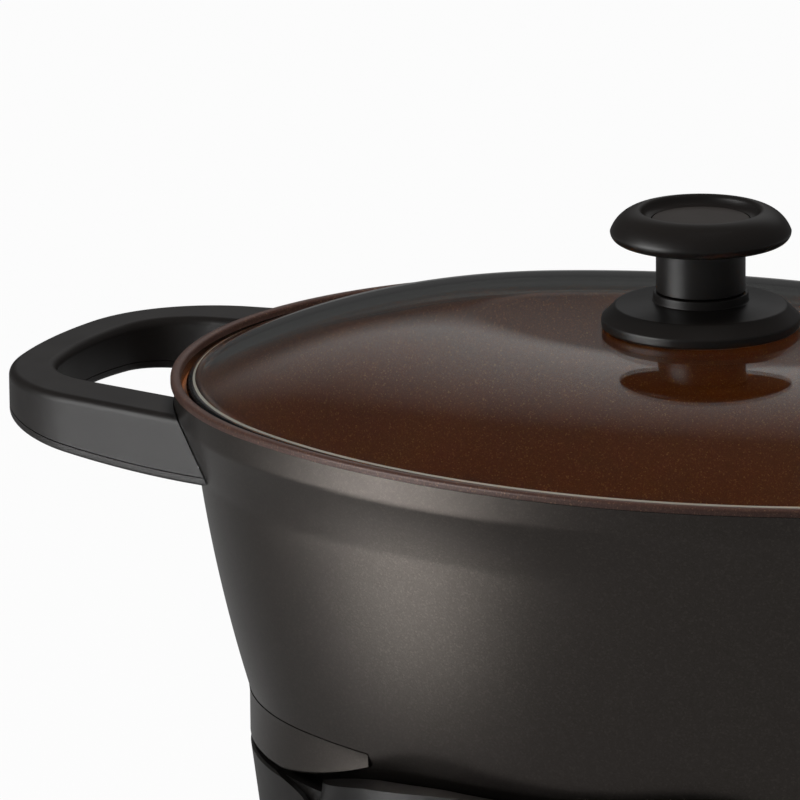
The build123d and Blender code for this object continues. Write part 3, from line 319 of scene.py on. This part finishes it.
def carried(points, closed, *filled_heights, end_steps=72, side_steps=40):
    """A section carried round the rim's oval, with its open ends filled level at their heights."""
    bm = bmesh.new()
    base = Matrix.Translation((END_CENTRE, 0, 0)) @ Matrix.Rotation(JOIN_ANGLE, 4, "Z")
    base = base @ Matrix.Translation((RIM_END_RADIUS, 0, 0))
    last = profile(bm, points, closed, base)
    side_sweep = pi - 2 * JOIN_ANGLE
    for centre, sweep, steps in (
        ((0, -SIDE_CENTRE, 0), side_sweep, side_steps),
        ((-END_CENTRE, 0, 0), 2 * JOIN_ANGLE, end_steps),
        ((0, SIDE_CENTRE, 0), side_sweep, side_steps),
        ((END_CENTRE, 0, 0), 2 * JOIN_ANGLE, end_steps),
    ):
        spun = bmesh.ops.spin(
            bm, geom=last, cent=centre, axis=(0, 0, 1), dvec=(0, 0, 0), angle=sweep, steps=steps,
            use_merge=False,
        )
        last = spun["geom_last"]
    bmesh.ops.remove_doubles(bm, verts=bm.verts, dist=0.01)
    for height in filled_heights:
        fill_level(bm, height)
    return bm


def fill_level(bm, height):
    """Close the flat loop of open edges at a height with one face."""
    loop = [
        edge for edge in bm.edges
        if edge.is_boundary and all(abs(vert.co.z - height) < 0.02 for vert in edge.verts)
    ]
    bmesh.ops.contextual_create(bm, geom=loop)


def turned(points):
    """A turned piece from (radius, height) points that start and end on the axis."""
    bm = bmesh.new()
    bmesh.ops.spin(
        bm, geom=profile(bm, points, False), cent=(0, 0, 0), axis=(0, 0, 1), dvec=(0, 0, 0),
        angle=2 * pi, steps=160, use_merge=True,
    )
    bmesh.ops.remove_doubles(bm, verts=bm.verts, dist=0.005)
    return bm


def soften(bm):
    """Smooth shading, with crisp edges where faces meet sharply."""
    for face in bm.faces:
        face.smooth = True
    for edge in bm.edges:
        edge.smooth = len(edge.link_faces) == 2 and edge.calc_face_angle(0.0) < SHARP


def piece(name, bm, material, body, slot, *replaced, edge_mm=0.0):
    """Finish a mesh made in millimetres as one piece that rides on a body."""
    bmesh.ops.recalc_face_normals(bm, faces=bm.faces)
    soften(bm)
    bmesh.ops.scale(bm, vec=(MM, MM, MM), verts=bm.verts)
    mesh = bpy.data.meshes.new(name)
    bm.to_mesh(mesh)
    bm.free()
    obj = bpy.data.objects.new(name, mesh)
    bpy.context.scene.collection.objects.link(obj)
    mesh.materials.append(material)
    if edge_mm:
        bevel = obj.modifiers.new("edge_round", "BEVEL")
        bevel.width = edge_mm * MM
        bevel.segments = 3
        bevel.limit_method = "ANGLE"
        bevel.angle_limit = SHARP
    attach(obj, body)
    if replaced:
        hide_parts(*replaced)
    return obj


def paint_shade_and_highlight_band(obj, material, low, high, least_up=-2.0):
    """Paint light and shade in a band: give another material to the faces between two heights that point
    up by more than least_up.
    """
    obj.data.materials.append(material)
    for polygon in obj.data.polygons:
        if polygon.normal.z > least_up and low * MM < polygon.center.z < high * MM:
            polygon.material_index = 1


def dress(material, *names):
    """Give CAD nodes a finished material."""
    for name in names:
        mesh = nodes[name].data
        mesh.materials.clear()
        mesh.materials.append(material)


# Pot. Its sections are (outwards from the rim's outline, up from the rim's top), so both are
# mostly negative.

UNDERSIDE = -124.4
CAST_FLOOR = -120.7
COAT_FLOOR = -120.4
COAT_BACK = -120.65
FLOOR_IN = -66.0  # here the sections end, and the floor is filled level
SHOULDER = -26.9  # the slanted band meets the wall
WAIST = -64.4  # halfway down the wall's long arc
BEND = (-58.5, -87.4)  # centre of the bend from wall to floor
SEAT = -5.4  # the ledge that the lid rests on


def raised(points):
    return [(x, RIM_Z + z) for x, z in points]


def floor_first(points):
    """The closed section again, opened between its two points nearest the middle of the floor."""
    middle = min(x for x, z in points)
    start = max(i for i, (x, z) in enumerate(points) if x == middle)
    return points[start:] + points[:start]


def pot_casting():
    """Outside of the casting, from the seam under the rim bead down to the floor and up inside."""
    outer = [(-3.2, -2.25), (-0.15, -2.25), (-0.9, -2.65), (-1.2, -9.0)]
    outer += through((-1.2, -9.0), (-1.4, -10.3), (-1.9, -11.5), 6)[1:] + [(-8.0, SHOULDER)]
    outer += through((-8.0, SHOULDER), (-14.5, WAIST), (-22.6, -96.4), 30)[1:]
    outer += arc(*BEND, 37.0, -14.0, -90.0, 26)[1:] + [(FLOOR_IN, UNDERSIDE)]
    inner = [(FLOOR_IN, CAST_FLOOR)] + arc(*BEND, 33.3, -90.0, -14.0, 14)
    inner += through((-26.1, -94.5), (-18.5, WAIST), (-12.0, SHOULDER), 12)
    inner += [(-8.4, -5.7), (-3.2, -5.7)]
    section = raised(floor_first(outer + inner))
    return carried(section, False, RIM_Z + UNDERSIDE, RIM_Z + CAST_FLOOR)


def pot_coating():
    """The coating inside: rim bead, lid seat, wall and floor, 0.3 mm thick on the casting."""
    top = [(-0.05, -2.2)] + arc(-1.15, -1.1, 1.1, 0.0, 55.0, 6)
    top += through((-0.52, -0.2), (-1.57, 0.0), (-2.6, -0.2), 6)[1:]
    top += through((-2.6, -0.2), (-2.95, -0.45), (-3.1, -0.9), 5)[1:]
    top += [(-3.1, -5.0)] + arc(-3.5, -5.0, 0.4, 0.0, -90.0, 4)[1:]
    top += [(-8.6, SEAT), (-12.3, SHOULDER)]
    wall = through((-12.3, SHOULDER), (-18.8, WAIST), (-26.4, -95.5), 24)[1:]
    floor = arc(*BEND, 33.0, -14.0, -90.0, 22)[1:] + [(FLOOR_IN, COAT_FLOOR)]
    back = [(FLOOR_IN, COAT_BACK)] + arc(*BEND, 33.25, -90.0, -14.0, 14)
    back += through((-26.15, -94.5), (-18.6, WAIST), (-12.1, SHOULDER), 12)
    back += [(-8.5, -5.65), (-3.15, -5.65), (-3.15, -2.2)]
    section = raised(floor_first(top + wall + floor + back))
    return carried(section, False, RIM_Z + COAT_FLOOR, RIM_Z + COAT_BACK)


def end_skirts():
    """Upright skirts under both ends, whose lower edge rises in a curve along the sides."""
    low, top = -112.4, -97.0
    rise_from, rise_over = 104.0, 40.0
    skirt_end = 64.5
    bm = carried(raised([
        (-22.55, top), (-22.8, top - 2.0), (-22.8, low + 0.8), (-23.4, low), (-25.6, low),
        (-26.0, low + 0.4), (-26.0, low + 8.0), (-24.5, low + 14.0),
    ]), True, end_steps=144, side_steps=120)
    for vert in bm.verts:
        along = (rise_from - abs(vert.co.x)) / rise_over
        if along > 0.0:
            share = min(max((RIM_Z + top - vert.co.z) / (top - low), 0.0), 1.0)
            vert.co.z += (5.7 * along + 5.6 * along ** 2) * share
    gone = [face for face in bm.faces if max(abs(vert.co.x) for vert in face.verts) < skirt_end]
    bmesh.ops.delete(bm, geom=gone, context="FACES")
    rims = [edge for edge in bm.edges if edge.is_boundary]
    bmesh.ops.holes_fill(bm, edges=rims, sides=0)
    return bm


def handle_lugs():
    """Four cast lugs that carry the handles, with rounded edges and their roots inside the wall."""
    root_near, root_far = 4.1, -1.4  # how far the root is moved out at the lug's two sides
    bm = bmesh.new()
    for side in (-1, 1):
        for end in (-1, 1):
            made = bmesh.ops.create_cube(bm, size=1.0)["verts"]
            bmesh.ops.scale(bm, vec=(17.0, 10.0, 7.0), verts=made)
            for vert in made:
                if vert.co.x * end < 0.0:
                    vert.co.x += end * (root_near if vert.co.y * side < 0.0 else root_far)
            bmesh.ops.translate(bm, vec=(end * 147.4, side * 54.35, RIM_Z - 19.9), verts=made)
    bmesh.ops.bevel(
        bm, geom=bm.edges[:], offset=0.6, segments=2, profile=0.5, affect="EDGES", material=-1
    )
    return bm


piece("pot_casting", pot_casting(), LACQUER, "pot", "pot_coating", "pot_body")
coating = piece("pot_coating", pot_coating(), COATING, "pot", "pot_coating")
# Painted shade: the darker copy of the coating goes on the rim bead and the wall inside it
paint_shade_and_highlight_band(coating, RIM_PAINTED_SHADE_COATING, RIM_Z - 5.1, RIM_Z + 1.0)
piece("end_skirts", end_skirts(), LACQUER, "pot", "pot_coating")
piece("handle_lugs", handle_lugs(), LACQUER, "pot", "pot_coating")


# Lid

GLASS_THICKNESS = 4.0
DOME_FLAT = 94.8  # how far in from the rim's outline the glass turns level
DOME_RISE = 18.6
GLASS_TOP = RIM_Z + DOME_RISE


def dome(edge_x, edge_z, top_z, count):
    """Points on an arc from the lid's edge that ends level where the flat middle starts."""
    span = -DOME_FLAT - edge_x
    climb = top_z - edge_z
    radius = (span ** 2 + climb ** 2) / (2 * climb)
    places = [edge_x + span * i / count for i in range(count + 1)]
    return [(x, top_z - radius + sqrt(radius ** 2 - (x + DOME_FLAT) ** 2)) for x in places]


def lid_glass():
    """Pressed glass with a rounded edge and a dome that ends level.

    The narrow first step of the dome is there for the painted highlight line on the edge.
    """
    underside = DOME_RISE - GLASS_THICKNESS
    inner = list(reversed(dome(-9.3, SEAT, underside, 40)))
    edge = arc(-6.8, -3.4, GLASS_THICKNESS / 2, -90.0, 90.0, 16)
    outer = dome(-6.8, -1.4, DOME_RISE, 120)[1:2] + dome(-6.8, -1.4, DOME_RISE, 40)[1:]
    section = raised(inner + edge + outer)
    return carried(section, False, RIM_Z + DOME_RISE - GLASS_THICKNESS, RIM_Z + DOME_RISE)


lid_dome = piece("lid_dome", lid_glass(), GLASS, "lid", "clear_glass", "lid_glass")
# Painted highlight: a pale line on the narrow band of the glass edge that faces up
paint_shade_and_highlight_band(lid_dome, GLASS_EDGE_PAINTED_HIGHLIGHT, RIM_Z - 1.35, RIM_Z - 1.1, least_up=0.05)


# Knob. Its sections are (radius, up from the glass).

def above_glass(points):
    return [(radius, GLASS_TOP + height) for radius, height in points]


def knob_flange():
    return turned(above_glass([
        (0.0, 0.05), (29.2, 0.05), (29.7, 0.6), (29.7, 3.0), (25.7, 6.8), (14.3, 8.2), (14.3, 10.9),
        (0.0, 10.9),
    ]))


def knob_column():
    return turned(above_glass([(0.0, 11.2), (13.4, 11.2), (13.4, 26.4), (0.0, 26.4)]))


def knob_cap():
    """The mushroom cap: widest low down, domed to a crest round a shallow recess."""
    ring = [(0.0, 26.4), (24.0, 26.4)]
    ring += through((24.0, 26.4), (26.4, 27.5), (27.1, 29.3), 10)[1:]
    ring += through((27.1, 29.3), (25.5, 32.2), (19.0, 36.0), 18)[1:]
    ring += through((19.0, 36.0), (18.1, 35.7), (17.6, 35.0), 6)[1:]
    ring += [(17.2, 34.0), (16.6, 33.4), (15.8, 33.05), (14.9, 33.0), (14.9, 31.0), (0.0, 31.0)]
    return turned(above_glass(ring))


def knob_insert():
    """The disc that lies in the cap's recess, with a broken edge."""
    return turned(above_glass([(0.0, 31.05), (14.7, 31.05), (14.7, 32.9), (14.4, 33.15), (0.0, 33.2)]))


piece("flange", knob_flange(), KNOB_PHENOLIC, "lid", "knob_plastic", "knob_flange", edge_mm=0.35)
piece("column", knob_column(), KNOB_PHENOLIC, "lid", "knob_plastic", "knob_column", edge_mm=0.3)
piece("cap", knob_cap(), KNOB_PHENOLIC, "lid", "knob_plastic", "knob_cap")
piece("cap_insert", knob_insert(), KNOB_INSERT, "lid", "knob_plastic", "knob_insert", edge_mm=0.2)


# CAD nodes that stay, with their finishes

dress(PHENOLIC, "handle_left", "handle_right", "handle_cover_left", "handle_cover_right")
dress(STEEL, "handle_screws", "steam_vent", "lid_washer", "lid_bolt", "cover_screws")
dress(STEEL, "control_screws", "dial_encoder", "encoder_shaft", "plate_posts", "post_screws")
dress(STEEL, "sensor_spring", "board_screws")
dress(HOUSING, "base_housing", "bottom_cover")
dress(PANEL, "side_panel_left", "side_panel_right")
dress(FASCIA, "control_fascia")
dress(SMOKED, "display_window")
dress(KEYCAP, "key_menu", "key_start", "key_timer", "key_warm")
dress(DIAL, "selector_dial")
dress(MACHINED, "heating_plate", "sensor_cup")
dress(HEATER, "heating_element", "transformer")
dress(SHEET, "heat_shield", "sensor_guide", "fuse_clip")
dress(CERAMIC, "element_terminals", "thermal_fuse")
dress(BOARD, "control_board", "power_board")
dress(COMPONENT, "display_module", "key_switches", "smoothing_capacitor", "gland_nut")
dress(SLEEVE, "power_relay")
dress(TERMINAL, "terminal_block")
dress(RUBBER, "feet", "cord_gland")


# Floor, light and camera, in metres

FLOOR_HALF_SIZE = 1.5
FLOOR_GREY = "#7a7a7a"
FLOOR_SEEN = 0.97  # how white the camera sees the floor
FLOOR_MIRRORED = 0.08  # and how white metal and glass see it

# The room that metal and glass mirror: pale at the horizon, and dark above a sine of 0.1
HORIZON_TOP = 0.10
HORIZON_WHITE = 0.08
STUDIO_DARK = 0.05
WORLD_LIGHT = 0.2

# A pale patch of wall behind the cooker, whose lower edge fades out between two sines
GLOW = 0.34
GLOW_TOWARDS = (-0.271, 0.887, 0.374)
GLOW_COSINE = 0.88
GLOW_FOOT = (0.235, 0.32)


def mirrored_ray(tree, rays):
    """One for the rays that metal and glass send out, and nought for others."""
    return add(
        tree, "ShaderNodeMath", {"operation": "MAXIMUM"},
        {0: rays["Is Glossy Ray"], 1: rays["Is Transmission Ray"]},
    ).outputs["Value"]


def studio_floor():
    """A pale floor that looks white to the camera, and keeps the cooker's soft shadow."""
    material, tree = new_material("pale_floor")
    surface = add(tree, "ShaderNodeBsdfDiffuse", {"Color": hex_colour(FLOOR_GREY)})
    white = add(tree, "ShaderNodeEmission", {"Color": (1, 1, 1, 1), "Strength": 1.0})
    rays = add(tree, "ShaderNodeLightPath").outputs
    mirrored = add(
        tree, "ShaderNodeMath", {"operation": "MULTIPLY", 1: FLOOR_MIRRORED}, {0: mirrored_ray(tree, rays)}
    )
    seen = add(
        tree, "ShaderNodeMath", {"operation": "MULTIPLY", 1: FLOOR_SEEN}, {0: rays["Is Camera Ray"]}
    )
    share = add(
        tree, "ShaderNodeMath", {"operation": "MAXIMUM"},
        {0: seen.outputs["Value"], 1: mirrored.outputs["Value"]},
    )
    mix = add(
        tree, "ShaderNodeMixShader",
        links={0: share.outputs["Value"], 1: surface.outputs["BSDF"], 2: white.outputs["Emission"]},
    )
    add(tree, "ShaderNodeOutputMaterial", links={"Surface": mix.outputs["Shader"]})
    bm = bmesh.new()
    bmesh.ops.create_grid(bm, x_segments=1, y_segments=1, size=FLOOR_HALF_SIZE)
    mesh = bpy.data.meshes.new("floor")
    bm.to_mesh(mesh)
    bm.free()
    floor = bpy.data.objects.new("floor", mesh)
    bpy.context.scene.collection.objects.link(floor)
    mesh.materials.append(material)


def studio_world():
    """White all round for the camera. Metal and glass mirror a dark studio with one pale wall."""
    world = bpy.data.worlds.new("studio")
    world.use_nodes = True
    tree = world.node_tree
    tree.nodes.clear()
    rays = add(tree, "ShaderNodeLightPath").outputs
    direction = add(tree, "ShaderNodeTexCoord").outputs["Generated"]
    height = add(tree, "ShaderNodeSeparateXYZ", links={"Vector": direction}).outputs["Z"]
    above = add(
        tree, "ShaderNodeMapRange",
        {"From Min": 0.0, "From Max": HORIZON_TOP, "To Min": HORIZON_WHITE, "To Max": STUDIO_DARK},
        {"Value": height},
    ).outputs["Result"]
    towards = add(
        tree, "ShaderNodeVectorMath", {"operation": "DOT_PRODUCT", 1: GLOW_TOWARDS}, {0: direction}
    ).outputs["Value"]
    glow = add(
        tree, "ShaderNodeMapRange", {"From Min": GLOW_COSINE, "From Max": 1.0, "To Max": GLOW},
        {"Value": towards},
    ).outputs["Result"]
    foot = add(
        tree, "ShaderNodeMapRange", {"From Min": GLOW_FOOT[0], "From Max": GLOW_FOOT[1]}, {"Value": height}
    ).outputs["Result"]
    glow = add(tree, "ShaderNodeMath", {"operation": "MULTIPLY"}, {0: glow, 1: foot}).outputs["Value"]
    above = add(tree, "ShaderNodeMath", {"operation": "ADD"}, {0: above, 1: glow}).outputs["Value"]
    lighting = add(
        tree, "ShaderNodeMix", {2: WORLD_LIGHT}, {0: mirrored_ray(tree, rays), 3: above}
    ).outputs[0]
    strength = add(tree, "ShaderNodeMix", {3: 1.0}, {0: rays["Is Camera Ray"], 2: lighting}).outputs[0]
    light = add(tree, "ShaderNodeBackground", {"Color": (1, 1, 1, 1)}, {"Strength": strength})
    add(tree, "ShaderNodeOutputWorld", links={"Surface": light.outputs["Background"]})
    bpy.context.scene.world = world


def soft_box(name, place, target, width, height, power, mirrored, through_glass, spread_degrees):
    """A rectangular lamp that the camera doesn't see, nor metal where it isn't mirrored."""
    lamp = bpy.data.lights.new(name, "AREA")
    lamp.spread = radians(spread_degrees)
    lamp.shape = "RECTANGLE"
    lamp.size = width
    lamp.size_y = height
    lamp.energy = power
    obj = bpy.data.objects.new(name, lamp)
    obj.location = place
    obj.rotation_euler = (Vector(target) - Vector(place)).to_track_quat("-Z", "Y").to_euler()
    obj.visible_camera = False
    obj.visible_glossy = mirrored
    obj.visible_transmission = through_glass
    bpy.context.scene.collection.objects.link(obj)


CAMERA_AIM_Z = 0.195
CAMERA_DISTANCE = 2.7
CAMERA_AZIMUTH = radians(25.0)
CAMERA_ELEVATION = radians(14.92)
FRAME_PIXELS = 800.0
FOCAL_PIXELS = 9017.0
AIM_RIGHT = 300.5 / 9010.0  # the cooker's middle is right of the frame's by this share of the focal length
AIM_UP = 16.0 / 9010.0  # and above it by this one


def photo_camera():
    """The photograph's camera: a long lens, to the side and a little above."""
    back = Vector((
        sin(CAMERA_AZIMUTH) * cos(CAMERA_ELEVATION), -cos(CAMERA_AZIMUTH) * cos(CAMERA_ELEVATION),
        sin(CAMERA_ELEVATION),
    ))
    right = Vector((cos(CAMERA_AZIMUTH), sin(CAMERA_AZIMUTH), 0.0))
    up = back.cross(right)
    aim = (-back - right * AIM_RIGHT - up * AIM_UP).normalized()
    side = aim.cross(up).normalized()
    rotation = Matrix((side, side.cross(aim), -aim)).transposed().to_4x4()
    camera = bpy.data.cameras.new("photo_camera")
    camera.sensor_width = 36.0
    camera.lens = FOCAL_PIXELS / FRAME_PIXELS * camera.sensor_width
    camera.clip_end = 50.0
    obj = bpy.data.objects.new("photo_camera", camera)
    place = Vector((0, 0, CAMERA_AIM_Z)) + back * CAMERA_DISTANCE
    obj.matrix_world = Matrix.Translation(place) @ rotation
    bpy.context.scene.collection.objects.link(obj)
    bpy.context.scene.camera = obj


studio_floor()
studio_world()
# The two floor lights draw the pale patches of floor that the pot's bands and wall mirror
soft_box("tall_soft_box", (-0.85, -0.95, 0.42), (0, 0, 0.18), 0.9, 0.8, 8.0, True, True, 180)
soft_box("near_floor_light", (-0.25, -0.27, 0.34), (-0.25, -0.27, 0), 0.1, 0.1, 0.75, False, False, 44)
soft_box("far_floor_light", (-0.46, -0.46, 0.5), (-0.46, -0.46, 0), 0.25, 0.25, 7.0, False, False, 54)
soft_box("top_light", (0.15, 0.0, 1.5), (0, 0, 0.2), 0.4, 0.4, 14.0, False, True, 180)
photo_camera()
bpy.context.scene.view_settings.view_transform = "Standard"
